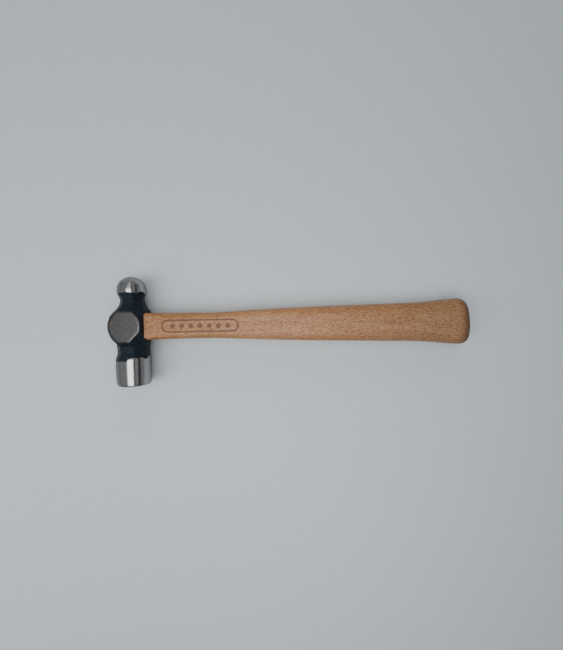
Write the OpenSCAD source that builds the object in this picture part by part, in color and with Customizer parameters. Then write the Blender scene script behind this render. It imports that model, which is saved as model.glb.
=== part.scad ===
// Ball peen hammer lying on its side.
// The head's long axis runs along Y with the ball at +Y, the handle runs along +X, and Z is up.
// The origin is the middle of the lower cheek, the ground round flat that the head rests on.
// All sizes are in millimetres.

/* [Head] */
// Distance from the middle of the eye to the tip of the ball
ball_reach = 46; // [45:0.1:52]
// Radius of the ball
ball_r = 12.6; // [11.5:0.1:13]
// Distance from the middle of the eye to the middle of the striking face
face_reach = 54.8; // [48:0.1:60]
// Largest radius of the poll, the cylinder behind the striking face
poll_r = 15.3; // [15:0.1:15.8]
// How much smaller the poll's radius is at the striking face
poll_taper = 0.8; // [0.3:0.1:1.5]
// Width of the bevel around the striking face
face_bevel = 2; // [1:0.1:3]
// Radius of the slightly domed striking face
face_dome_r = 150; // [100:10:300]
// Radius of the round boss that holds the eye
boss_r = 21.2; // [20.5:0.1:23]
// Distance between the two ground cheeks
cheek_gap = 31.8; // [31.6:0.1:35]
// Distance between the two flats that the eye opens into
eye_flat_gap = 30.4; // [28:0.1:32]
// Radius of the neck between the boss and the ball
ball_neck_r = 10.2; // [9.5:0.1:11]
// Radius of the neck between the boss and the poll
poll_neck_r = 13.5; // [13:0.1:14.5]

/* [Eye] */
// Half length of the eye along the head, at its narrowest
eye_waist = 11.2; // [10:0.1:12]
// Half length of the eye where the handle goes in
eye_entry = 11.8; // [11.6:0.1:12.2]
// Half length of the eye where the wedges go in
eye_exit = 12.6; // [12:0.1:13.2]
// Width of the eye as a share of its length
eye_ratio = 0.68; // [0.6:0.01:0.72]

/* [Handle] */
// Distance from the middle of the eye to the butt of the handle
handle_reach = 312; // [306:1:360]
// Width of the handle next to the head
neck_w = 24.6; // [24.2:0.1:26]
// Width of the handle where it is narrowest
waist_w = 23.8; // [22:0.1:25]
// Width of the handle where it reaches the front of the hand
grip_w = 31.5; // [28:0.1:34]
// Width of the handle at the heel of the hand
heel_w = 36; // [32:0.1:38]
// Width of the flared butt
butt_w = 42.6; // [39:0.1:46]
// Thickness of the handle next to the head
neck_t = 21; // [18:0.1:23]
// Thickness of the handle where it is narrowest
waist_t = 20.6; // [18:0.1:23]
// Thickness of the handle where it reaches the front of the hand
grip_t = 23.4; // [21:0.1:25]
// Thickness of the handle at the heel of the hand
heel_t = 25.4; // [23:0.1:28]
// Thickness of the handle at the butt
butt_t = 27.6; // [24:0.1:30]
// Radius of the rounding around the butt
butt_round = 8; // [5:0.5:10]

/* [Wedges] */
// How far the tongue and the wedges stand out of the eye
tongue_stand = 0.6; // [0.2:0.1:1.5]
// Depth of the wooden wedge
wood_wedge_depth = 22; // [18:0.5:24]
// Thickness of the wooden wedge at its wide end
wood_wedge_t = 3.4; // [2.4:0.1:4]
// Depth of each steel wedge
steel_wedge_depth = 14; // [10:0.5:16]
// Width of each steel wedge
steel_wedge_w = 11; // [8:0.5:12]
// Thickness of each steel wedge at its wide end
steel_wedge_t = 2.2; // [1.6:0.1:2.6]
// Distance from the middle of the eye to each steel wedge
steel_wedge_offset = 5.6; // [5:0.1:6.5]

/* [Hidden] */
$fn = 96;

axis_z = cheek_gap / 2;
eye_flat = eye_flat_gap / 2;
ball_y = ball_reach - ball_r;
ball_neck_y = 24.2;
poll_neck_y = -21.6;
poll_shoulder_y = -29.2;
poll_shoulder_r = poll_r - 0.2;
poll_widest_y = -38;
eye_waist_x = 3;
fit = 0.05;
past = 1;

// Places along the handle, measured from the head's axis
waist_x = 76;
front_x = 100;
grip_x = 170;
heel_x = handle_reach - 50;
butt_x = handle_reach - 10;
neck_squareness = 4.2;
butt_squareness = 2.6;
shoulder_gap = 0.4;
shaft_start = eye_flat + shoulder_gap;
shaft_step = 6;
ring_points = 48;
butt_rings = 7;
butt_dome = 1.2;

// Radius of an arc around a waist of radius neck_r that also touches a ball of radius big_r
function blend_r(big_r, neck_r, distance) =
    (neck_r * neck_r + distance * distance - big_r * big_r) / (2 * (big_r - neck_r));

// Radius of an arc that stands level over its start and has dropped by fall after run
function arc_r(run, fall) = (run * run + fall * fall) / (2 * fall);

// One side of a waist: the strip between two heights, hollowed by an arc
module waist(neck_r, neck_y, blend, end_y) {
    difference() {
        translate([0, min(neck_y, end_y)]) square([neck_r + blend, abs(end_y - neck_y)]);
        translate([neck_r + blend, neck_y]) circle(r = blend, $fn = 128);
    }
}

// A waist that ends where its arc touches a ball of radius big_r centred at ball_y on the axis
module waist_to_ball(neck_r, neck_y, big_r, big_y) {
    blend = blend_r(big_r, neck_r, neck_y - big_y);
    waist(neck_r, neck_y, blend, big_y + (neck_y - big_y) * big_r / (big_r + blend));
}

module poll_outline() {
    barrel = arc_r(abs(-face_reach - poll_widest_y), poll_taper);
    intersection() {
        translate([0, -face_reach]) square([poll_r + past, face_reach + poll_shoulder_y]);
        translate([poll_r - barrel, poll_widest_y]) circle(r = barrel, $fn = 512);
        translate([0, face_dome_r - face_reach]) circle(r = face_dome_r, $fn = 512);
        polygon([
            [0, -face_reach - past],
            [poll_r - poll_taper - face_bevel - past, -face_reach - past],
            [poll_r - poll_taper + past, -face_reach + face_bevel + past],
            [poll_r + past, poll_shoulder_y],
            [0, poll_shoulder_y]
        ]);
    }
}

// Half of the head's outline, to be turned around its long axis
module head_outline() {
    intersection() {
        translate([0, -face_reach]) square([boss_r + past, face_reach + ball_reach + past]);
        union() {
            translate([0, ball_y]) circle(r = ball_r);
            circle(r = boss_r, $fn = 128);
            waist_to_ball(ball_neck_r, ball_neck_y, ball_r, ball_y);
            waist_to_ball(ball_neck_r, ball_neck_y, boss_r, 0);
            waist_to_ball(poll_neck_r, poll_neck_y, boss_r, 0);
            waist(
                poll_neck_r,
                poll_neck_y,
                arc_r(poll_neck_y - poll_shoulder_y, poll_shoulder_r - poll_neck_r),
                poll_shoulder_y
            );
            poll_outline();
        }
    }
}

// A round cone along X between two places, squashed to the eye's oval
module oval_cone(x1, half_1, x2, half_2) {
    scale([1, 1, eye_ratio])
        translate([x1, 0, 0]) rotate([0, 90, 0]) cylinder(h = x2 - x1, r1 = half_1, r2 = half_2);
}

// The eye is narrowest near its middle, so that the spread tongue can't pull out
function flare_slope(half, x) = (half - eye_waist) / abs(x - eye_waist_x);

module eye(shrink) {
    entry_slope = flare_slope(eye_entry, eye_flat);
    exit_slope = flare_slope(eye_exit, -eye_flat);
    entry_x = eye_flat + 2 * past;
    exit_x = -eye_flat - 2 * past;
    waist_half = eye_waist - shrink;
    oval_cone(eye_waist_x, waist_half, entry_x, waist_half + entry_slope * (entry_x - eye_waist_x));
    oval_cone(exit_x, waist_half + exit_slope * (eye_waist_x - exit_x), eye_waist_x, waist_half);
}

module head() {
    flat_depth = boss_r;
    flat_length = 2 * abs(poll_neck_y);
    color("dimgray") translate([0, 0, axis_z]) difference() {
        rotate([-90, 0, 0]) rotate_extrude() head_outline();
        for (side = [-1, 1]) {
            translate([side * (eye_flat + flat_depth / 2), 0, 0])
                cube([flat_depth, 2 * boss_section(eye_flat), 3 * boss_r], center = true);
            translate([0, 0, side * (axis_z + flat_depth / 2)])
                cube([3 * boss_r, flat_length, flat_depth], center = true);
        }
        eye(0);
    }
}

// Half the length of the boss's section in a plane at this distance from the head's axis,
// with room for the start of the waist beside it
function boss_section(distance) = sqrt(boss_r * boss_r - distance * distance) + 2;

// Each station is a place along the handle, the full size there, and how fast the size grows.
// Just past the waist the handle has swelled by about a third of the way to the grip.
width_stations = [
    [eye_flat, neck_w, 0],
    [waist_x, waist_w, 0],
    [front_x, waist_w + 0.3 * (grip_w - waist_w), 0.09],
    [grip_x, grip_w, 0.05],
    [heel_x, heel_w, 0.05],
    [butt_x, butt_w, 0.1]
];
thick_stations = [
    [eye_flat, neck_t, 0],
    [waist_x, waist_t, 0],
    [grip_x, grip_t, 0.03],
    [heel_x, heel_t, 0.03],
    [butt_x, butt_t, 0.06]
];

// A smooth curve from one station to the next that keeps both sizes and both slopes
function between(a, b, x) =
    let (run = b[0] - a[0], t = (x - a[0]) / run)
    a[1] * (1 - 3 * t * t + 2 * t * t * t)
    + b[1] * (3 * t * t - 2 * t * t * t)
    + run * a[2] * (t - 2 * t * t + t * t * t)
    + run * b[2] * (t * t * t - t * t);

function along(stations, x, i = 0) =
    x <= stations[i + 1][0] || i == len(stations) - 2
        ? between(stations[i], stations[i + 1], min(x, stations[len(stations) - 1][0]))
        : along(stations, x, i + 1);

function half_width(x) = along(width_stations, x) / 2;
function half_thick(x) = along(thick_stations, x) / 2;
function squareness(x) =
    neck_squareness + (butt_squareness - neck_squareness) * (x - shaft_start) / (handle_reach - shaft_start);

function signed_pow(value, power) = sign(value) * pow(abs(value), power);

// One ring of points around the handle: an oval between an ellipse and a rectangle
function ring(x, wide, thick, square) = [
    for (i = [0 : ring_points - 1])
        let (angle = 360 * (i + 0.5) / ring_points)
        [x, wide * signed_pow(cos(angle), 2 / square), thick * signed_pow(sin(angle), 2 / square)]
];

// The butt's rim is a quarter circle, here as steps of angle around it
round_start = handle_reach - butt_round - butt_dome;
shaft_rings = ceil((round_start - shaft_start) / shaft_step);
function shaft_x(i) = shaft_start + (round_start - shaft_start) * i / shaft_rings;
function rim_ring(i) =
    let (angle = 84 * i / butt_rings, pull = butt_round * (1 - cos(angle)))
    ring(
        round_start + butt_round * sin(angle),
        half_width(round_start) - pull,
        half_thick(round_start) - pull,
        butt_squareness
    );

shaft_points = [
    for (i = [0 : shaft_rings]) each ring(
        shaft_x(i), half_width(shaft_x(i)), half_thick(shaft_x(i)), squareness(shaft_x(i))
    ),
    for (i = [1 : butt_rings]) each rim_ring(i),
    [handle_reach, 0, 0]
];
ring_count = shaft_rings + 1 + butt_rings;
function corner(ring_index, i) = ring_index * ring_points + i % ring_points;
shaft_faces = [
    [for (i = [0 : ring_points - 1]) i],
    for (r = [0 : ring_count - 2], i = [0 : ring_points - 1]) each [
        [corner(r, i), corner(r + 1, i), corner(r + 1, i + 1)],
        [corner(r, i), corner(r + 1, i + 1), corner(r, i + 1)]
    ],
    for (i = [0 : ring_points - 1]) [corner(ring_count - 1, i), len(shaft_points) - 1, corner(ring_count - 1, i + 1)]
];

// The tongue fills the eye, stands out a little at the far side and runs into the shaft's shoulder
module tongue() {
    intersection() {
        eye(fit);
        translate([-eye_flat - tongue_stand, -boss_r, -boss_r])
            cube([2 * eye_flat + tongue_stand + past, 2 * boss_r, 2 * boss_r]);
    }
}

// A wedge driven in along X, from its wide end down to a narrow edge
module wedge_blade(depth, thick, edge, wide, grow) {
    x = -eye_flat - tongue_stand;
    linear_extrude(height = wide + 2 * grow, center = true) polygon([
        [x - grow, -thick / 2 - grow],
        [x + depth + grow, -edge / 2 - grow],
        [x + depth + grow, edge / 2 + grow],
        [x - grow, thick / 2 + grow]
    ]);
}

module wood_blade(grow) {
    rotate([90, 0, 0]) wedge_blade(wood_wedge_depth, wood_wedge_t, 0.8, 2 * boss_r, grow);
}

module steel_blade(side, grow) {
    translate([0, side * steel_wedge_offset, 0])
        wedge_blade(steel_wedge_depth, steel_wedge_t, 0.5, steel_wedge_w, grow);
}

module handle() {
    color("burlywood") translate([0, 0, axis_z]) union() {
        polyhedron(points = shaft_points, faces = shaft_faces, convexity = 4);
        difference() {
            tongue();
            wood_blade(fit);
            for (side = [-1, 1]) steel_blade(side, fit);
        }
    }
}

module wood_wedge() {
    color("peru") translate([0, 0, axis_z]) difference() {
        intersection() {
            tongue();
            wood_blade(0);
        }
        for (side = [-1, 1]) steel_blade(side, fit);
    }
}

module steel_wedge_ball_side() {
    color("slategray") translate([0, 0, axis_z]) steel_blade(1, 0);
}

module steel_wedge_face_side() {
    color("slategray") translate([0, 0, axis_z]) steel_blade(-1, 0);
}

head();
handle();
wood_wedge();
steel_wedge_ball_side();
steel_wedge_face_side();
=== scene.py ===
import math

import bmesh
import bpy
import numpy as np
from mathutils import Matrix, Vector


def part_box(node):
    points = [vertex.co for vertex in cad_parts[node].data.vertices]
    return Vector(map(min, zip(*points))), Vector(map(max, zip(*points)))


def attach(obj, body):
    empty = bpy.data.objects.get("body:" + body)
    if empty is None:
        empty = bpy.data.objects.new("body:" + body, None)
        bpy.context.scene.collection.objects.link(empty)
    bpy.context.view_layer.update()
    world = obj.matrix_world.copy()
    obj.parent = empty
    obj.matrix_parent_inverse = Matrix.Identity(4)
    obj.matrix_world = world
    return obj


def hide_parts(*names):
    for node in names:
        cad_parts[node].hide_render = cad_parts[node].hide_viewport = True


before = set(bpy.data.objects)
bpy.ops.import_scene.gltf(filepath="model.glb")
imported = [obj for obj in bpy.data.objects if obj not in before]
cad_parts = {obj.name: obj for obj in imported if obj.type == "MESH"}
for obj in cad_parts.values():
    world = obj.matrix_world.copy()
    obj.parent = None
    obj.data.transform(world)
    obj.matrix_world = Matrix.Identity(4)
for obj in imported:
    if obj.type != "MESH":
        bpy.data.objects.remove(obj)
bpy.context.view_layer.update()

# Lengths below are in millimetres and are turned into metres as each mesh is made.
# The head's long axis is along Y, the handle's along X, and both lie at the height AXIS_Z.
MM = 0.001
head_low, head_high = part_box("head")
handle_low, handle_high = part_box("handle")
AXIS_Z = (head_low.z + head_high.z) / 2 / MM
CHEEK = (head_high.z - head_low.z) / 2 / MM
BALL_TIP = head_high.y / MM
FACE = head_low.y / MM
BUTT_SHORT = 0.5
BUTT = handle_high.x / MM - BUTT_SHORT

# The head's outline: ball, boss, poll, and the two necks between them
BALL_R = 12.6
BOSS_R = 21.2
POLL_R = 15.3
FACE_R = 14.5
FACE_BEVEL = 2.0
FACE_DOME_R = 150.0
EYE_FLAT = 15.2
BALL_NECK_R, BALL_NECK_Y = 10.4, 24.2
POLL_NECK_R, POLL_NECK_Y = 13.7, -21.6
SHOULDER_R, SHOULDER_Y = 15.1, -29.2
POLL_WIDEST_Y = -38.0

# Where each neck's octagon fades in and out, as distances from the eye along the head
NECK_IN, BALL_NECK_OUT, POLL_NECK_OUT = (9, 14), (24, 29), (23, 27.5)
# How far the ends and the necks stand off the boss's middle, towards the handle
ENDS_OFFSET, NECKS_OFFSET, OFFSET_IN = 0.6, 1.15, (14, 20)
# How wide the changeovers between the boss's forged and ground surfaces are
EYE_FLAT_ROUND, TRIM_ROUND, CHEEK_ROUND = 1.2, 0.8, 0.9
BOSS_TRIMS_END, BOSS_END = 16.5, 20
CHEEK_BARE_DEPTH = 0.55
POLISH_FROM = 24.0
# Each layer of forging scale: its depth, the size of its lumps, and its seed
FORGE_LAYERS = ((0.12, 4.0, 1), (0.08, 1.9, 2), (0.06, 0.95, 3))
FORGE_DEPTH = 0.2

# The oval eye, as half lengths of its oval, and the tongue that fills it
EYE_WAIST, EYE_WAIST_X = 11.2, 3.0
EYE_ENTRY, EYE_EXIT = 11.8, 12.6
EYE_RATIO = 0.68
EYE_INSIDE_R = 9.3
TONGUE_STAND = 0.6
TONGUE_END = -EYE_FLAT - TONGUE_STAND
FIT = 0.05


# ---------------------------------------------------------------- numbers and noise

def smoothstep(low, high, value):
    t = np.clip((value - low) / (high - low), 0.0, 1.0)
    return t * t * (3 - 2 * t)


def smooth_max(a, b, width):
    """The larger of two distances, with a rounded changeover."""
    share = np.clip(0.5 + 0.5 * (a - b) / width, 0.0, 1.0)
    return b + (a - b) * share + width * share * (1 - share)


def lattice(corner, seed):
    """A repeatable value from 0 to 1 for each whole-number corner."""
    mixed = np.sin(corner @ np.array([127.1, 311.7, 74.7]) + seed * 17.3) * 43758.5453
    return mixed - np.floor(mixed)


def noise(points, size, seed=0):
    """Smooth value noise from -1 to 1, with lumps about size across."""
    scaled = points / size
    cell = np.floor(scaled)
    f = scaled - cell
    f = f * f * (3 - 2 * f)
    total = 0.0
    for dx in (0, 1):
        for dy in (0, 1):
            for dz in (0, 1):
                weight = (
                    (f[..., 0] if dx else 1 - f[..., 0])
                    * (f[..., 1] if dy else 1 - f[..., 1])
                    * (f[..., 2] if dz else 1 - f[..., 2])
                )
                total = total + weight * lattice(cell + (dx, dy, dz), seed)
    return total * 2 - 1


# ---------------------------------------------------------------- meshes

def make_object(name, vertices, faces):
    """A closed mesh object, with faces outwards, from millimetre points around the hammer's axes."""
    mesh = bpy.data.meshes.new(name)
    points = np.asarray(vertices, dtype=float) + (0, 0, AXIS_Z)
    mesh.from_pydata((points * MM).tolist(), [], faces)
    outwards = bmesh.new()
    outwards.from_mesh(mesh)
    bmesh.ops.recalc_face_normals(outwards, faces=outwards.faces)
    outwards.to_mesh(mesh)
    outwards.free()
    piece = bpy.data.objects.new(name, mesh)
    bpy.context.scene.collection.objects.link(piece)
    return piece


def loft(name, rings, first_tip, last_tip):
    """A closed skin over rings of points, with a tip at each end."""
    count, around = rings.shape[:2]
    vertices = [first_tip, *rings.reshape(-1, 3).tolist(), last_tip]
    last = len(vertices) - 1

    def index(ring, i):
        return 1 + ring * around + i % around

    faces = [(0, index(0, i + 1), index(0, i)) for i in range(around)]
    for ring in range(count - 1):
        for i in range(around):
            faces.append((index(ring, i), index(ring, i + 1), index(ring + 1, i + 1), index(ring + 1, i)))
    faces += [(last, index(count - 1, i), index(count - 1, i + 1)) for i in range(around)]
    return make_object(name, vertices, faces)


def settle(piece):
    """Replaces a piece's mesh by what its modifiers make of it."""
    graph = bpy.context.evaluated_depsgraph_get()
    made = bpy.data.meshes.new_from_object(piece.evaluated_get(graph))
    piece.modifiers.clear()
    old, piece.data = piece.data, made
    made.name = piece.name
    bpy.data.meshes.remove(old)


def carve(piece, cutter, operation="DIFFERENCE"):
    """Cuts one mesh by another and throws the cutter away."""
    modifier = piece.modifiers.new("carve", "BOOLEAN")
    modifier.object = cutter
    modifier.operation = operation
    modifier.solver = "EXACT"
    settle(piece)
    bpy.data.objects.remove(cutter)


def smooth(piece, sharp_angle=40):
    """Shades smoothly, apart from edges that turn by more than an angle."""
    for face in piece.data.polygons:
        face.use_smooth = True
    piece.data.set_sharp_from_angle(angle=math.radians(sharp_angle))


def vertex_array(piece):
    """A mesh's points, in millimetres around the hammer's axes."""
    flat = np.empty(len(piece.data.vertices) * 3)
    piece.data.vertices.foreach_get("co", flat)
    return flat.reshape(-1, 3) / MM - (0, 0, AXIS_Z)


def store(piece, name, values):
    """Keeps one number for each point of a mesh, for its material to read."""
    attribute = piece.data.attributes.new(name, "FLOAT", "POINT")
    attribute.data.foreach_set("value", np.asarray(values, dtype=np.float32))


# ---------------------------------------------------------------- head

def blend_r(big_r, neck_r, distance):
    """Radius of an arc around a waist that also touches a ball beside it."""
    return (neck_r**2 + distance**2 - big_r**2) / (2 * (big_r - neck_r))


def arc_r(run, fall):
    """Radius of an arc that falls by so much over a run from its level point."""
    return (run**2 + fall**2) / (2 * fall)


def arc(centre, radius, start, end, step):
    """Points of an arc in the (radius, along) plane, from one angle to another in degrees."""
    count = max(2, math.ceil(abs(math.radians(end - start)) * radius / step))
    angles = np.radians(np.linspace(start, end, count + 1))
    return np.stack([centre[0] + radius * np.cos(angles), centre[1] + radius * np.sin(angles)], 1)


def angle_of(centre, point):
    """Direction of a point from a centre, in degrees."""
    return math.degrees(math.atan2(point[1] - centre[1], point[0] - centre[0]))


def touch(ball_centre, ball_radius, waist_centre):
    """Where a ball meets the arc of the waist beside it."""
    reach = math.hypot(waist_centre[0] - ball_centre[0], waist_centre[1] - ball_centre[1])
    share = ball_radius / reach
    return (
        ball_centre[0] + share * (waist_centre[0] - ball_centre[0]),
        ball_centre[1] + share * (waist_centre[1] - ball_centre[1]),
    )


def head_profile(step):
    """The head's outline as (radius, along), from near the ball's tip to near the face's middle."""
    ball = (0.0, BALL_TIP - BALL_R)
    boss = (0.0, 0.0)
    ball_blend = blend_r(BALL_R, BALL_NECK_R, BALL_NECK_Y - ball[1])
    boss_blend = blend_r(BOSS_R, BALL_NECK_R, BALL_NECK_Y)
    poll_blend = blend_r(BOSS_R, POLL_NECK_R, POLL_NECK_Y)
    shoulder_blend = arc_r(POLL_NECK_Y - SHOULDER_Y, SHOULDER_R - POLL_NECK_R)
    barrel = arc_r(POLL_WIDEST_Y - FACE, POLL_R - FACE_R)
    ball_side = (BALL_NECK_R + ball_blend, BALL_NECK_Y)
    boss_top = (BALL_NECK_R + boss_blend, BALL_NECK_Y)
    boss_low = (POLL_NECK_R + poll_blend, POLL_NECK_Y)
    shoulder = (POLL_NECK_R + shoulder_blend, POLL_NECK_Y)
    ball_touch = touch(ball, BALL_R, ball_side)
    top_touch = touch(boss, BOSS_R, boss_top)
    low_touch = touch(boss, BOSS_R, boss_low)
    barrel_centre = (POLL_R - barrel, POLL_WIDEST_Y)
    rim_r = FACE_R - FACE_BEVEL
    rim_y = FACE + FACE_DOME_R - math.sqrt(FACE_DOME_R**2 - rim_r**2)
    bevel_centre = (rim_r, rim_y + FACE_BEVEL)
    barrel_end = (FACE_R, rim_y + FACE_BEVEL)
    parts = [
        arc(ball, BALL_R, 90 - math.degrees(step / BALL_R), angle_of(ball, ball_touch), step),
        arc(ball_side, ball_blend, angle_of(ball_side, ball_touch), 180, step),
        arc(boss_top, boss_blend, 180, 360 + angle_of(boss_top, top_touch), step),
        arc(boss, BOSS_R, angle_of(boss, top_touch), angle_of(boss, low_touch), step),
        arc(boss_low, poll_blend, angle_of(boss_low, low_touch), 180, step),
        arc(shoulder, shoulder_blend, 180, 360 + angle_of(shoulder, (SHOULDER_R, SHOULDER_Y)), step),
        arc(
            barrel_centre, barrel, angle_of(barrel_centre, (SHOULDER_R, SHOULDER_Y)),
            angle_of(barrel_centre, barrel_end), step
        ),
        arc(bevel_centre, FACE_BEVEL, 0, -90, step / 2),
        arc(
            (0, FACE + FACE_DOME_R), FACE_DOME_R, -90 + math.degrees(rim_r / FACE_DOME_R),
            -90 + math.degrees(step / FACE_DOME_R), step
        ),
    ]
    outline = np.concatenate(parts)
    apart = np.linalg.norm(np.diff(outline, axis=0), axis=1) > step * 0.2
    return outline[np.concatenate([[True], apart])]


def octagon(angle, roundness):
    """How far a rounded octagon with flats up, down and sideways stands out in a direction."""
    off_flat = (angle + math.pi / 8) % (math.pi / 4) - math.pi / 8
    flat = 0.975 / np.cos(off_flat)
    return -smooth_max(-flat, np.full_like(flat, -1.03), roundness)


# Forged flats that trim the boss: direction around the cheek and tilt from its rim, in degrees,
# and distance from the middle of the boss
BOSS_TRIMS = (
    (0, 42, 21.0), (90, 42, 20.9), (145, 42, 21.0), (215, 42, 20.7), (270, 42, 21.0), (315, 42, 20.0),
    (137, 20, 20.5), (223, 20, 20.7),
)


def head_distance(radius, along, angle, nominal, neckness):
    """Signed distance, more or less, from the head's skin at a point around its axis."""
    x, z = radius * np.sin(angle), radius * np.cos(angle)
    distance = radius - nominal * (1 + neckness * (octagon(angle, 0.02) - 1))
    past_boss = np.maximum(0, np.abs(along) - BOSS_TRIMS_END) * 2
    distance = smooth_max(distance, np.abs(x) - EYE_FLAT - past_boss, EYE_FLAT_ROUND)
    for direction, tilt, reach in BOSS_TRIMS:
        turn, lift = math.radians(direction), math.radians(tilt)
        outward = (x * math.cos(turn) + along * math.sin(turn)) * math.cos(lift)
        trim = outward + np.abs(z) * math.sin(lift) - reach
        distance = smooth_max(distance, trim - past_boss, TRIM_ROUND)
    return smooth_max(distance, np.abs(z) - CHEEK - past_boss, CHEEK_ROUND)


# Where the masked paint ends: from each angle around the head, in degrees, the paint keeps this
# distance from the eye until the next angle. Angle 0 is up and 90 is towards the handle.
BALL_PAINT = (
    (-180, 30.6), (-150, 31.3), (-118, 30.1), (-82, 30.9), (-66, 30.0), (-34, 30.7), (-8, 30.9),
    (38, 30.0), (50, 31.6), (78, 30.4), (112, 31.2), (150, 30.3),
)
POLL_PAINT = (
    (-180, 28.2), (-140, 30.6), (-108, 28.6), (-84, 30.9), (6, 28.3), (49, 28.1), (60, 29.4),
    (77, 27.7), (104, 30.3), (146, 28.0),
)


def paint_line(steps, angle):
    """Where the paint ends at each angle around the head, with a slightly ragged edge."""
    degrees = np.degrees(angle)
    line = np.full_like(degrees, steps[0][1])
    turn = 5
    for (_, before), (start, after) in zip(steps, steps[1:] + ((180, steps[0][1]),)):
        line = line + (after - before) * smoothstep(start - turn, start + turn, degrees)
    return line + 0.16 * np.sin(11 * angle) + 0.1 * np.sin(23 * angle + 1)


def bare_depth(points):
    """How far inside the bare steel a point is: negative under paint, and zero at the paint's edge."""
    angle = np.arctan2(points[:, 0], points[:, 2])
    along = points[:, 1]
    radius = np.hypot(points[:, 0], points[:, 2])
    ball = along - paint_line(BALL_PAINT, angle)
    poll = -along - paint_line(POLL_PAINT, angle)
    far = 5
    boss = np.abs(along) < BOSS_END
    cheek = np.where(boss, np.abs(points[:, 2]) - (CHEEK - CHEEK_BARE_DEPTH), -far)
    bare = np.maximum(np.maximum(ball, poll), cheek)
    inside_eye = boss & (radius < EYE_INSIDE_R)
    return np.where(inside_eye, -far, np.clip(bare, -far, far))


def oval_ring(x, half, ratio, around, square=2.0):
    """A ring at one place along the handle: an oval at 2, and squarer as the number grows."""
    angle = np.linspace(0, 2 * math.pi, around, endpoint=False)
    c, s = np.cos(angle), np.sin(angle)
    wide = np.sign(c) * np.abs(c) ** (2 / square)
    thick = np.sign(s) * np.abs(s) ** (2 / square)
    return np.stack([np.full(around, x), half * wide, half * ratio * thick], 1)


def eye_half(x, shrink=0.0):
    """Half length of the eye's oval at a place along the handle."""
    entry = (EYE_ENTRY - EYE_WAIST) / abs(EYE_FLAT - EYE_WAIST_X)
    leave = (EYE_EXIT - EYE_WAIST) / abs(-EYE_FLAT - EYE_WAIST_X)
    slope = entry if x > EYE_WAIST_X else leave
    return EYE_WAIST - shrink + slope * abs(x - EYE_WAIST_X)


def eye_cutter():
    """The eye as a solid, with a bevelled mouth at each end that runs on past the head."""
    mouth, past = 0.7, 2
    leave, entry = -EYE_FLAT, EYE_FLAT
    places = [leave - past, leave, leave + mouth, EYE_WAIST_X, entry - mouth, entry, entry + past]
    grow = [mouth + past, mouth, 0, 0, 0, mouth, mouth + past]
    rings = []
    for x, extra in zip(places, grow):
        oval = oval_ring(x, eye_half(x), EYE_RATIO, 96)
        from_axis = np.linalg.norm(oval[:, 1:], axis=1, keepdims=True)
        oval[:, 1:] *= (from_axis + extra) / from_axis
        rings.append(oval)
    return loft("eye_cutter", np.array(rings), (places[0], 0, 0), (places[-1], 0, 0))


def forged_head():
    """The head, found by halving along each ray from its axis, then roughened, shifted and pierced."""
    step, around = 0.4, 264
    outline = head_profile(step)
    angle = np.linspace(0, 2 * math.pi, around, endpoint=False)[None, :]
    nominal, along = outline[:, 0][:, None], outline[:, 1][:, None]
    neck_top = smoothstep(*NECK_IN, along) * (1 - smoothstep(*BALL_NECK_OUT, along))
    neck_low = smoothstep(*NECK_IN, -along) * (1 - smoothstep(*POLL_NECK_OUT, -along))
    neckness = neck_top + neck_low
    low, high = nominal * 0.5 + 0 * angle, nominal * 1.2 + 0 * angle
    for _ in range(40):
        middle = (low + high) / 2
        outside = head_distance(middle, along, angle, nominal, neckness) > 0
        high, low = np.where(outside, middle, high), np.where(outside, low, middle)
    radius = (low + high) / 2
    boss = np.abs(along) < BOSS_END
    radius = np.where(boss | (neckness > 0), radius, nominal + 0 * angle)
    rings = np.stack([radius * np.sin(angle), along + 0 * angle, radius * np.cos(angle)], -1)
    rings = rings + forge_texture(rings)
    off_neck = smoothstep(*BALL_NECK_OUT, np.abs(along))
    offset = NECKS_OFFSET + (ENDS_OFFSET - NECKS_OFFSET) * off_neck
    rings[..., 0] += offset * smoothstep(*OFFSET_IN, np.abs(along))
    head = loft("forged_head", rings, (0, BALL_TIP, 0), (0, FACE, 0))
    carve(head, eye_cutter())
    store(head, "bare", bare_depth(vertex_array(head)))
    smooth(head)
    return head


def forge_texture(rings):
    """Scale pits and hammer-die waviness on the skin that is painted and not ground."""
    around = np.roll(rings, -1, 1) - np.roll(rings, 1, 1)
    along = np.gradient(rings, axis=0)
    normal = np.cross(along, around)
    normal /= np.maximum(np.linalg.norm(normal, axis=-1, keepdims=True), 1e-9)
    flat = rings.reshape(-1, 3)
    rough = sum(depth * noise(flat, size, seed) for depth, size, seed in FORGE_LAYERS) - FORGE_DEPTH
    painted = 1 - smoothstep(-1.6, -0.3, bare_depth(flat))
    outward = np.sign(np.sum(normal * rings * (1, 0, 1), axis=-1, keepdims=True))
    return normal * outward * (rough * painted).reshape(rings.shape[:2])[..., None]


# ---------------------------------------------------------------- handle

# Each station is a place along the handle, the full size there, and how fast the size grows
WIDTH_STATIONS = (
    (EYE_FLAT, 24.6, 0), (76, 23.8, 0), (100, 26.1, 0.09), (170, 31.5, 0.05),
    (BUTT - 50, 36.0, 0.05), (BUTT - 10, 42.6, 0.1),
)
THICK_STATIONS = (
    (EYE_FLAT, 21.0, 0), (76, 20.6, 0), (170, 23.4, 0.03), (BUTT - 50, 25.4, 0.03), (BUTT - 10, 27.6, 0.06),
)
NECK_SQUARE, BUTT_SQUARE = 4.2, 2.6
SHOULDER_SQUARE, SHOULDER_RUN = 3.5, 14.0
SHAFT_START = EYE_FLAT + FIT
BUTT_ROUND, BUTT_DOME = 8.0, 1.2


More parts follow.
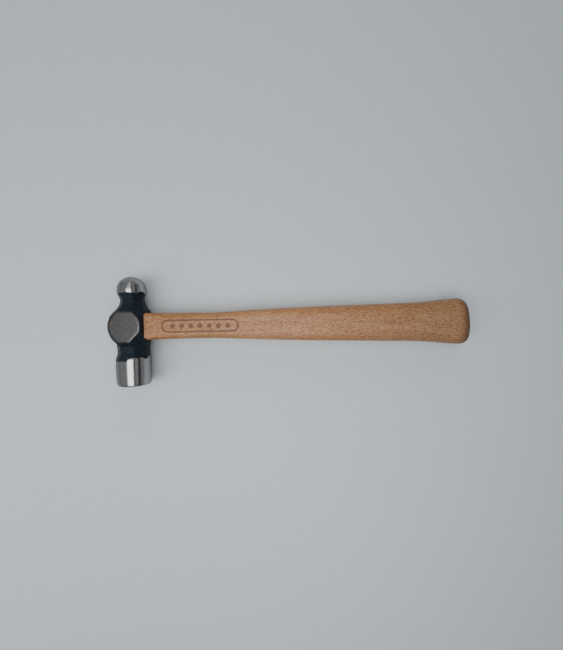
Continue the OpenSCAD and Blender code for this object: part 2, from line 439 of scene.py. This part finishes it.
def along_stations(stations, x):
    """The size at a place, on a smooth curve that keeps every station's size and slope."""
    x = min(max(x, stations[0][0]), stations[-1][0])
    for (x0, size0, slope0), (x1, size1, slope1) in zip(stations, stations[1:]):
        if x <= x1:
            run = x1 - x0
            t = (x - x0) / run
            share = t * t * (3 - 2 * t)
            slopes = slope0 * t * (1 - t) ** 2 - slope1 * t * t * (1 - t)
            return size0 + (size1 - size0) * share + run * slopes


def half_width(x):
    return along_stations(WIDTH_STATIONS, x) / 2


def half_thick(x):
    return along_stations(THICK_STATIONS, x) / 2


def squareness(x):
    """How square the handle is: squarest at its shoulder, and more and more oval towards the butt."""
    shoulder = SHOULDER_SQUARE * (1 - smoothstep(0, SHOULDER_RUN, x - SHAFT_START))
    return NECK_SQUARE + shoulder + (BUTT_SQUARE - NECK_SQUARE) * (x - SHAFT_START) / (BUTT - SHAFT_START)


def ring(x, wide, thick, square, around):
    """A ring of the shaft, from its half width and half thickness."""
    return oval_ring(x, wide, thick / wide, around, square)


def pared(ring_points):
    """A ring near the head with the corner towards the striking face pared away at 45 degrees."""
    paring = 2.6
    room = half_width(SHAFT_START) - np.maximum(0, paring - (ring_points[:, 0] - SHAFT_START))
    ring_points[:, 1] = np.maximum(ring_points[:, 1], -room)
    return ring_points


def handle_rings(around=144, step=1.0):
    """Every ring of the handle, from the middle of its tongue's end to the middle of its butt."""
    rings = []
    chamfer = 0.25
    end_half = eye_half(TONGUE_END, FIT) - chamfer
    for share in (0.15, 0.35, 0.55, 0.75, 0.9, 1.0):
        rings.append(oval_ring(TONGUE_END, end_half * share, EYE_RATIO, around))
    for x in np.linspace(TONGUE_END + chamfer, SHAFT_START, 34):
        rings.append(oval_ring(x, eye_half(x, FIT), EYE_RATIO, around))
    edge = 0.5
    for angle in np.radians(np.linspace(0, 90, 6)):
        x = SHAFT_START + edge * (1 - math.cos(angle))
        pull = edge * (1 - math.sin(angle))
        rings.append(pared(ring(x, half_width(x) - pull, half_thick(x) - pull, squareness(x), around)))
    pared_end, fine = SHAFT_START + 4, 0.3
    for x in np.arange(SHAFT_START + edge + fine, pared_end, fine):
        rings.append(pared(ring(x, half_width(x), half_thick(x), squareness(x), around)))
    round_start = BUTT - BUTT_ROUND - BUTT_DOME
    for x in np.arange(pared_end + step / 2, round_start, step):
        rings.append(ring(x, half_width(x), half_thick(x), squareness(x), around))
    wide, thick = half_width(round_start), half_thick(round_start)
    for angle in np.radians(np.linspace(0, 84, 15)):
        pull = BUTT_ROUND * (1 - math.cos(angle))
        x = round_start + BUTT_ROUND * math.sin(angle)
        rings.append(ring(x, wide - pull, thick - pull, BUTT_SQUARE, around))
    rim_x = rings[-1][0, 0]
    rim = rings[-1]
    for share in (0.85, 0.7, 0.5, 0.3, 0.12):
        cap = rim * (1, share, share)
        cap[:, 0] = BUTT - (BUTT - rim_x) * share**2
        rings.append(cap)
    return np.array(rings)


def blade(name, depth, thick, edge, wide, across, offset=0.0, grow=0.0):
    """A wedge driven in along the handle, from its wide end down to a narrow edge."""
    wide_end, edge_end = TONGUE_END - grow, TONGUE_END + depth + grow
    outline = [
        (wide_end, -thick / 2 - grow), (edge_end, -edge / 2 - grow),
        (edge_end, edge / 2 + grow), (wide_end, thick / 2 + grow),
    ]
    points = []
    for side in (-wide / 2 - grow, wide / 2 + grow):
        for px, p in outline:
            points.append((px, side, p) if across == "y" else (px, p + offset, side))
    faces = [(0, 1, 2, 3), (7, 6, 5, 4), (0, 4, 5, 1), (1, 5, 6, 2), (2, 6, 7, 3), (3, 7, 4, 0)]
    return make_object(name, points, faces)


WOOD_BLADE = {"depth": 22.0, "thick": 3.4, "edge": 0.8, "wide": 2 * BOSS_R, "across": "y"}
STEEL_BLADE = {"depth": 14.0, "thick": 2.2, "edge": 0.5, "wide": 11.0, "across": "z"}
STEEL_OFFSET = 5.6


def turned_handle():
    """The handle, with a butt that is not quite square to it and skin that is not quite even."""
    rings = handle_rings()
    flat = rings.reshape(-1, 3)
    lean = 0.05 * smoothstep(BUTT - 30, BUTT - 6, flat[:, 0])
    flat[:, 0] -= lean * flat[:, 1]
    wave = 0.05 * noise(flat, 22.0, 5) + 0.02 * noise(flat, 6.0, 6)
    wave = wave * smoothstep(SHAFT_START + 1, SHAFT_START + 6, flat[:, 0])
    outward = flat * (0, 1, 1)
    outward /= np.maximum(np.linalg.norm(outward, axis=1, keepdims=True), 1e-6)
    shaft = flat[:, [0]] > SHAFT_START + 1
    rings = (flat + outward * (wave - 0.07)[:, None] * shaft).reshape(rings.shape)
    handle = loft("beech_handle", rings, (TONGUE_END, 0, 0), (BUTT, 0, 0))
    carve(handle, blade("kerf", **WOOD_BLADE, grow=FIT))
    for side in (-1, 1):
        carve(handle, blade("slit", **STEEL_BLADE, offset=side * STEEL_OFFSET, grow=FIT))
    smooth(handle, 35)
    return handle


def tongue_plug():
    """The end of the tongue as a closed plug, to trim the wooden wedge by."""
    places = np.linspace(TONGUE_END, SHAFT_START, 12)
    rings = [oval_ring(x, eye_half(x, FIT), EYE_RATIO, 96) for x in places]
    return loft("tongue_plug", np.array(rings), (TONGUE_END, 0, 0), (SHAFT_START, 0, 0))


def roughened(piece, depth, size, seed):
    """Breaks up a driven wedge's flat faces with small dents, always inwards."""
    points = vertex_array(piece)
    normals = np.array([vertex.normal[:] for vertex in piece.data.vertices])
    dents = depth * (0.5 + 0.5 * noise(points, size, seed))
    moved = points - normals * dents[:, None] + (0, 0, AXIS_Z)
    piece.data.vertices.foreach_set("co", (moved * MM).ravel())
    piece.data.update()


def refined(piece, width, cell):
    """Rounds a wedge's edges and gives it an even fine mesh."""
    bevel = piece.modifiers.new("bevel", "BEVEL")
    bevel.width = width * MM
    bevel.segments = 3
    bevel.limit_method = "ANGLE"
    remesh = piece.modifiers.new("remesh", "REMESH")
    remesh.mode = "VOXEL"
    remesh.voxel_size = cell * MM
    settle(piece)


def driven_wooden_wedge():
    wedge = blade("driven_wooden_wedge", **WOOD_BLADE)
    carve(wedge, tongue_plug(), "INTERSECT")
    for side in (-1, 1):
        carve(wedge, blade("slit", **STEEL_BLADE, offset=side * STEEL_OFFSET, grow=FIT))
    refined(wedge, 0.15, 0.16)
    roughened(wedge, 0.06, 1.2, 11)
    smooth(wedge, 35)
    return wedge


def driven_steel_wedge(name, side):
    wedge = blade(name, **STEEL_BLADE, offset=side * STEEL_OFFSET)
    refined(wedge, 0.25, 0.16)
    roughened(wedge, 0.12, 1.4, 13 + side)
    smooth(wedge, 50)
    return wedge


# ---------------------------------------------------------------- materials

class Nodes:
    """Short calls for building one material's node tree."""

    def __init__(self, name):
        self.material = bpy.data.materials.new(name)
        self.material.use_nodes = True
        self.tree = self.material.node_tree
        self.shader = self.tree.nodes["Principled BSDF"]

    def add(self, kind, **settings):
        node = self.tree.nodes.new(kind)
        for key, value in settings.items():
            setattr(node, key, value)
        return node

    def link(self, source, target):
        self.tree.links.new(source, target)

    def put(self, socket, value):
        """Links a socket to another, or sets it to a plain value."""
        if isinstance(value, bpy.types.NodeSocket):
            self.link(value, socket)
        else:
            socket.default_value = value

    def math(self, operation, a, b=0.0, c=0.0, clamp=False):
        node = self.add("ShaderNodeMath", operation=operation, use_clamp=clamp)
        for socket, value in zip(node.inputs, (a, b, c)):
            self.put(socket, value)
        return node.outputs[0]

    def ramp(self, value, low, high, out_low=0.0, out_high=1.0):
        node = self.add("ShaderNodeMapRange", interpolation_type="SMOOTHSTEP")
        for name, number in (
            ("Value", value), ("From Min", low), ("From Max", high), ("To Min", out_low), ("To Max", out_high)
        ):
            self.put(node.inputs[name], number)
        return node.outputs["Result"]

    def mix(self, factor, a, b):
        node = self.add("ShaderNodeMix", data_type="RGBA")
        self.put(node.inputs["Factor"], factor)
        self.put(node.inputs["A"], a if isinstance(a, bpy.types.NodeSocket) else (*a, 1))
        self.put(node.inputs["B"], b if isinstance(b, bpy.types.NodeSocket) else (*b, 1))
        return node.outputs["Result"]

    def darken(self, factor, colour, tint):
        """Multiplies a colour by a tint where the factor is 1."""
        node = self.add("ShaderNodeMix", data_type="RGBA", blend_type="MULTIPLY")
        self.put(node.inputs["Factor"], factor)
        self.put(node.inputs["A"], colour)
        self.put(node.inputs["B"], (*tint, 1))
        return node.outputs["Result"]

    def coordinates(self, stretch=(1, 1, 1)):
        """Object coordinates in millimetres, divided by a stretch along each axis."""
        place = self.add("ShaderNodeTexCoord").outputs["Object"]
        node = self.add("ShaderNodeMapping")
        self.link(place, node.inputs["Vector"])
        node.inputs["Scale"].default_value = [1 / (MM * s) for s in stretch]
        return node.outputs["Vector"]

    def noise(self, stretch, size=1.0, detail=2.0, roughness=0.5, distortion=0.0):
        node = self.add("ShaderNodeTexNoise")
        self.link(self.coordinates(stretch), node.inputs["Vector"])
        node.inputs["Scale"].default_value = 1 / size
        node.inputs["Detail"].default_value = detail
        node.inputs["Roughness"].default_value = roughness
        node.inputs["Distortion"].default_value = distortion
        return node.outputs["Fac"]

    def bump(self, height, distance, strength=1.0, under=None):
        node = self.add("ShaderNodeBump")
        self.put(node.inputs["Height"], height)
        node.inputs["Distance"].default_value = distance * MM
        node.inputs["Strength"].default_value = strength
        if under is not None:
            self.link(under, node.inputs["Normal"])
        return node.outputs["Normal"]

    def finish(self, **values):
        """Sets the shader's inputs by name and hands back the material."""
        for name, value in values.items():
            socket = self.shader.inputs[name.replace("_", " ").title().replace("Ior", "IOR")]
            if isinstance(value, tuple) and len(value) == 3:
                value = (*value, 1)
            self.put(socket, value)
        return self.material


# Linear colours, each pair from dark to light
# The paint's speck colour is a painted glint: lighter blue specks in the paint's colour, on top of the glints
# that its bump makes.
PAINT, PAINT_GLINT_SPECK = ((0.009, 0.014, 0.020), (0.018, 0.026, 0.037)), (0.045, 0.060, 0.082)
POLISHED = ((0.34, 0.34, 0.345), (0.40, 0.40, 0.40))
TURNED_GROOVE, GROUND_GROOVE = (0.28, 0.28, 0.285), (0.235, 0.235, 0.24)
CHEEK_STEEL = ((0.092, 0.096, 0.097), (0.132, 0.133, 0.130))
CHEEK_GROOVE, CHEEK_RUST = (0.058, 0.060, 0.062), (0.17, 0.125, 0.10)
BEECH_PALE, BEECH_DARK, BEECH_FLECK = (0.645, 0.338, 0.152), (0.53, 0.252, 0.109), (0.22, 0.085, 0.036)
# The last two colours on the next line are painted shade: the wood darkened towards the butt, and darker
# still over the butt's rounded end, which also has its end grain.
BEECH_BY_HEAD, BEECH_BUTTWARD_SHADE, BEECH_END_GRAIN_AND_SHADE = (0.40, 0.165, 0.055), (0.30, 0.178, 0.10), (0.085, 0.038, 0.018)
MOTTLE_TINT, PORE_TINT = (0.68, 0.62, 0.56), (0.6, 0.52, 0.45)
BURNT = (0.13, 0.055, 0.025)
WEDGE_PALE, WEDGE_DARK, WEDGE_FLECK = (0.44, 0.28, 0.16), (0.33, 0.19, 0.10), (0.2, 0.1, 0.05)
MILD_STEEL = ((0.22, 0.21, 0.20), (0.42, 0.41, 0.40))
FLOOR = ((0.68, 0.745, 0.785), (0.74, 0.80, 0.835))
SPECULAR_EDGE = (0.45, 0.45, 0.45)


def head_material(name, polished):
    """Paint over forging scale, and bare steel where the attribute is above zero."""
    n = Nodes(name)
    bare = n.add("ShaderNodeAttribute", attribute_name="bare").outputs["Fac"]
    ragged = n.noise((1, 1, 1), 0.9, 3)
    edge = n.math("ADD", bare, n.math("MULTIPLY_ADD", ragged, 0.9, -0.45))
    steel = n.ramp(edge, -0.06, 0.06)
    paint_share = n.math("SUBTRACT", 1.0, steel)

    lumps = n.noise((1, 1, 1), 2.2, 4, 0.6)
    speckle = n.noise((1, 1, 1), 0.7, 2, 0.6)
    paint = n.mix(n.ramp(lumps, 0.35, 0.7), *PAINT)
    # Painted glints: lighter blue specks mixed into the paint's colour.
    paint = n.mix(n.ramp(speckle, 0.54, 0.64, 0, 0.7), paint, PAINT_GLINT_SPECK)

    axes = n.add("ShaderNodeSeparateXYZ")
    n.link(n.coordinates(), axes.inputs[0])
    above_axis = n.math("SUBTRACT", axes.outputs[2], AXIS_Z)
    squares = n.math("ADD", n.math("POWER", axes.outputs[0], 2.0), n.math("POWER", above_axis, 2.0))
    off_axis = n.math("SQRT", squares)
    lathe = n.add("ShaderNodeCombineXYZ")
    n.link(n.math("ADD", axes.outputs[1], off_axis), lathe.inputs[0])
    turning = n.add("ShaderNodeTexNoise")
    n.link(lathe.outputs[0], turning.inputs["Vector"])
    turning.inputs["Scale"].default_value = 3.2
    turning.inputs["Detail"].default_value = 3
    turned = turning.outputs["Fac"]
    ground = n.noise((0.5, 0.5, 0.5), 1.0, 3, 0.7)
    stain = n.noise((1, 1, 1), 4.0, 4, 0.6)
    if polished:
        metal = n.mix(n.ramp(stain, 0.3, 0.75), *POLISHED)
        metal = n.mix(n.ramp(turned, 0.4, 0.65, 0, 0.4), metal, TURNED_GROOVE)
        metal = n.mix(n.ramp(ground, 0.35, 0.7, 0, 0.5), metal, GROUND_GROOVE)
        rough_steel = n.ramp(turned, 0.35, 0.65, 0.17, 0.26)
        marks = n.math("ADD", n.math("MULTIPLY", turned, 0.04), n.math("MULTIPLY", ground, 0.05))
    else:
        metal = n.mix(n.ramp(stain, 0.3, 0.75), *CHEEK_STEEL)
        metal = n.mix(n.ramp(ground, 0.42, 0.58, 0, 0.85), metal, CHEEK_GROOVE)
        rust = n.noise((1.0, 1.0, 1.0), 1.7, 3, 0.7)
        metal = n.mix(n.ramp(rust, 0.52, 0.68, 0, 0.6), metal, CHEEK_RUST)
        rough_steel = n.ramp(ground, 0.35, 0.65, 0.36, 0.48)
        marks = n.math("MULTIPLY", ground, 0.12)

    colour = n.mix(steel, paint, metal)
    rough_paint = n.ramp(lumps, 0.3, 0.7, 0.32, 0.5)
    roughness = n.math(
        "ADD", n.math("MULTIPLY", rough_steel, steel), n.math("MULTIPLY", rough_paint, paint_share)
    )
    scale = n.math("MULTIPLY", n.math("ADD", lumps, speckle), paint_share)
    normal = n.bump(n.math("ADD", n.math("MULTIPLY", marks, steel), scale), 0.3, 1.0)
    if polished:
        tangent = n.add("ShaderNodeTangent", direction_type="RADIAL", axis="Y")
        n.link(tangent.outputs[0], n.shader.inputs["Tangent"])
        n.finish(anisotropic=0.75, anisotropic_rotation=0.25)
    return n.finish(
        base_color=colour, metallic=steel, roughness=roughness, normal=normal,
        specular_ior_level=0.13, specular_tint=SPECULAR_EDGE
    )


def two_finishes(head):
    """Gives the ball and poll the polished finish, and leaves the boss and its cheeks ground."""
    head.data.materials.append(head_material("painted_forging_and_polished_steel", True))
    rows = vertex_array(head)[:, 1]
    for face in head.data.polygons:
        middle = sum(rows[i] for i in face.vertices) / len(face.vertices)
        face.material_index = 1 if abs(middle) > POLISH_FROM else 0


def wood_material(name, pale, dark, fleck):
    """Beech: bands, fine fibres and short dark ray flecks along X, as parts of a material to finish."""
    n = Nodes(name)
    bands = n.noise((60, 3.2, 5.0), 1.0, 3, 0.55, 0.6)
    fibres = n.noise((14, 0.22, 0.22), 1.0, 3, 0.6)
    flecks = n.noise((3.4, 0.42, 0.42), 1.0, 2, 0.45)
    blotch = n.noise((40, 14, 14), 1.0, 2, 0.5)
    colour = n.mix(n.ramp(bands, 0.32, 0.68), pale, dark)
    colour = n.mix(n.ramp(blotch, 0.35, 0.7, 0, 0.35), colour, tuple(c * 0.88 for c in dark))
    colour = n.mix(n.ramp(fibres, 0.45, 0.75, 0, 0.35), colour, tuple(c * 0.8 for c in dark))
    mask = n.ramp(flecks, 0.57, 0.68, 0, 0.75)
    colour = n.mix(mask, colour, fleck)
    height = n.math("SUBTRACT", n.math("MULTIPLY", fibres, 0.6), mask)
    normal = n.bump(height, 0.05, 0.6)
    roughness = n.ramp(fibres, 0.3, 0.7, 0.42, 0.56)
    return n, colour, roughness, normal


def burnt_mark(n):
    """Where the plain ornament is burnt in: a long rounded border around a row of diamonds."""
    middle_x, half_run, half_high = 66.0, 29.0, 5.2
    pitch, diamond = 2 * half_run / 7, 2.8
    axes = n.add("ShaderNodeSeparateXYZ")
    n.link(n.coordinates(), axes.inputs[0])
    x, y, z = axes.outputs
    off = n.math("ABSOLUTE", n.math("SUBTRACT", x, middle_x))
    past_end = n.math("MAXIMUM", n.math("SUBTRACT", off, half_run), 0.0)
    reach = n.math("SQRT", n.math("ADD", n.math("POWER", past_end, 2.0), n.math("POWER", y, 2.0)))
    border = n.math("ABSOLUTE", n.math("SUBTRACT", reach, half_high))
    repeat = n.math("PINGPONG", n.math("SUBTRACT", x, middle_x), pitch / 2)
    lozenge = n.math("ADD", repeat, n.math("ABSOLUTE", y))
    lines = n.ramp(border, 0.55, 0.95, 1.0, 0.0)
    filled = n.ramp(lozenge, diamond - 0.2, diamond + 0.2, 1.0, 0.0)
    inside = n.ramp(off, half_run, half_run + 0.4, 1.0, 0.0)
    upper = n.math("GREATER_THAN", z, AXIS_Z)
    mark = n.math("MAXIMUM", lines, n.math("MULTIPLY", filled, inside))
    return n.math("MULTIPLY", mark, upper)


def handle_material():
    """Lacquered beech, yellower by the head, with painted shade darkening it towards the butt and over the
    butt's end, and with the burnt ornament.
    """
    n, colour, roughness, normal = wood_material("lacquered_beech", BEECH_PALE, BEECH_DARK, BEECH_FLECK)
    axes = n.add("ShaderNodeSeparateXYZ")
    n.link(n.coordinates(), axes.inputs[0])
    along = axes.outputs[0]
    colour = n.mix(n.ramp(along, 15, 120, 0.4, 0.0), colour, BEECH_BY_HEAD)
    # Painted shade: the wood is darkened over the last 150 mm towards the butt, where the light falls off.
    colour = n.mix(n.ramp(along, BUTT - 150, BUTT - 12, 0.0, 0.55), colour, BEECH_BUTTWARD_SHADE)
    # Painted shade, with some darker end grain: the wood is darkened strongly over the butt's rounded end,
    # which turns away from the light.
    colour = n.mix(n.ramp(along, BUTT - 15, BUTT - 3, 0.0, 0.8), colour, BEECH_END_GRAIN_AND_SHADE)
    mottle = n.noise((3.2, 1.0, 1.0), 1.0, 2, 0.75)
    lengthwise = n.ramp(along, -EYE_FLAT - 0.2, -EYE_FLAT + 0.2, 0.3, 1.0)
    mottled = n.math("MULTIPLY", n.ramp(mottle, 0.44, 0.6), lengthwise)
    colour = n.darken(mottled, colour, MOTTLE_TINT)
    pores = n.noise((2.0, 0.7, 0.7), 1.0, 1, 0.5)
    colour = n.darken(n.math("MULTIPLY", n.ramp(pores, 0.56, 0.66), lengthwise), colour, PORE_TINT)
    unevenly = n.ramp(n.noise((1, 1, 1), 1.1, 3, 0.6), 0.3, 0.6, 0.72, 1.0)
    mark = n.math("MULTIPLY", burnt_mark(n), unevenly)
    colour = n.mix(mark, colour, BURNT)
    normal = n.bump(n.math("MULTIPLY", mark, -1.0), 0.12, 0.7, under=normal)
    return n.finish(
        base_color=colour, roughness=roughness, normal=normal, coat_weight=0.06, coat_roughness=0.35,
        specular_ior_level=0.3
    )


def wedge_wood_material():
    n, colour, _, normal = wood_material("raw_wedge_wood", WEDGE_PALE, WEDGE_DARK, WEDGE_FLECK)
    return n.finish(base_color=colour, roughness=0.7, normal=normal)


def wedge_steel_material():
    n = Nodes("mild_steel_wedge")
    dents = n.noise((1, 1, 1), 0.9, 3, 0.6)
    colour = n.mix(n.ramp(dents, 0.3, 0.7), *MILD_STEEL)
    return n.finish(
        base_color=colour, metallic=1.0, roughness=n.ramp(dents, 0.3, 0.7, 0.35, 0.6),
        normal=n.bump(dents, 0.15, 0.8)
    )


def floor_material():
    n = Nodes("pale_floor")
    mottle = n.noise((1, 1, 1), 9.0, 4, 0.6)
    colour = n.mix(mottle, *FLOOR)
    return n.finish(base_color=colour, roughness=0.7, normal=n.bump(n.noise((1, 1, 1), 1.2, 3), 0.06, 0.5))


# ---------------------------------------------------------------- pieces on their bodies

def dress(piece, material, *nodes):
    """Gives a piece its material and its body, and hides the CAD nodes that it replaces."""
    piece.data.materials.clear()
    piece.data.materials.append(material)
    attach(piece, "root")
    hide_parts(*nodes)


head = forged_head()
dress(head, head_material("painted_forging_and_ground_cheeks", False), "head")
two_finishes(head)
dress(turned_handle(), handle_material(), "handle")
dress(driven_wooden_wedge(), wedge_wood_material(), "wood_wedge")
wedge_steel = wedge_steel_material()
for node, side in (("steel_wedge_ball_side", 1), ("steel_wedge_face_side", -1)):
    dress(driven_steel_wedge("driven_" + node, side), wedge_steel, node)


# ---------------------------------------------------------------- stage, lights and camera

def stage_floor():
    """A pale floor that touches the lower cheek's edge and the underside of the butt."""
    half = 3.0
    touch_x = 0.014
    butt_x = (BUTT - BUTT_ROUND) * MM
    rise = (AXIS_Z - half_thick(BUTT - BUTT_ROUND)) * MM / (butt_x - touch_x)
    corners = [(sx * half, sy * half) for sx, sy in ((-1, -1), (1, -1), (1, 1), (-1, 1))]
    mesh = bpy.data.meshes.new("floor")
    mesh.from_pydata([(x, y, (x - touch_x) * rise - 0.00005) for x, y in corners], [], [(0, 1, 2, 3)])
    floor = bpy.data.objects.new("floor", mesh)
    bpy.context.scene.collection.objects.link(floor)
    mesh.materials.append(floor_material())


def panel(name, place, aim, size, radiance, colour=(1, 1, 1), lights=True, reflects=True):
    """A rectangular light of an even brightness, kept out of shading or of reflections if asked."""
    lamp = bpy.data.lights.new(name, "AREA")
    lamp.shape = "RECTANGLE"
    lamp.size, lamp.size_y = size
    lamp.energy = radiance * math.pi * size[0] * size[1]
    lamp.color = colour
    holder = bpy.data.objects.new(name, lamp)
    bpy.context.scene.collection.objects.link(holder)
    holder.location = place
    holder.rotation_euler = (Vector(aim) - Vector(place)).to_track_quat("-Z", "Y").to_euler()
    holder.visible_diffuse = lights
    holder.visible_glossy = reflects


def overhead(name, height, x_from, x_to, y_from, y_to, radiance, **settings):
    """A panel that faces straight down, given by where it starts and ends."""
    place = ((x_from + x_to) / 2, (y_from + y_to) / 2, height)
    panel(name, place, (place[0], place[1], 0), (x_to - x_from, y_to - y_from), radiance, **settings)


CEILING, REFLECTORS = 0.9, 0.8


def studio():
    """Soft light from above and a little to the left, and panels that only show in reflections."""
    world = bpy.data.worlds.new("studio")
    world.use_nodes = True
    background = world.node_tree.nodes["Background"]
    background.inputs["Color"].default_value = (0.88, 0.94, 1.0, 1)
    background.inputs["Strength"].default_value = 0.09
    bpy.context.scene.world = world
    warm, cool = (1.0, 0.985, 0.96), (0.94, 0.975, 1.0)
    overhead("soft_ceiling", CEILING, -0.2, 0.5, -0.75, 0.6, 1.15, colour=warm, reflects=False)
    overhead("near_softbox", 0.3, 0.11, 0.28, -0.35, 0.1, 0.95, colour=cool, reflects=False)
    panel("key_left", (-0.4, -0.15, 0.6), (0.1, 0, 0), (0.5, 0.7), 2.9, cool, reflects=False)
    panel("fill_back", (0.12, 1.2, 0.6), (0.12, 0, 0), (1.0, 0.6), 1.7, cool, reflects=False)
    overhead("stripe", REFLECTORS, -0.21, 0.265, -0.7, 0.12, 5.3, lights=False)
    overhead("stripe_edge", REFLECTORS, -0.28, -0.21, -0.7, 0.12, 1.6, lights=False)
    overhead("stripe_far", REFLECTORS, -0.17, 0.265, 0.12, 1.9, 0.86, lights=False)
    overhead("band_right", REFLECTORS, 0.46, 0.95, -0.9, 1.9, 0.36, lights=False)
    overhead("grey_left", REFLECTORS, -2.2, -0.28, -1.2, 1.9, 0.31, lights=False)
    panel("wall_right", (2.2, 0, 0.45), (0, 0, 0.45), (2.6, 0.9), 0.31, lights=False)
    panel("wall_left", (-2.25, 0, 0.4), (0, 0, 0.4), (2.6, 0.8), 0.3, lights=False)
    panel("wall_back", (0, 2.0, 0.4), (0, 0, 0.4), (4.4, 0.8), 0.34, lights=False)


def camera():
    """A camera above the handle, close enough to see the side of the head that faces it."""
    lens_per_pixel = 36 / 650
    data = bpy.data.cameras.new("camera")
    data.lens = 300 * lens_per_pixel
    data.sensor_width = 36
    data.clip_start, data.clip_end = 0.01, 20
    holder = bpy.data.objects.new("camera", data)
    bpy.context.scene.collection.objects.link(holder)
    holder.location = (0.1395, 0.0080, AXIS_Z * MM + 0.280)
    holder.rotation_euler = (math.radians(-1.84), 0, math.radians(-0.96))
    bpy.context.scene.camera = holder


stage_floor()
studio()
camera()
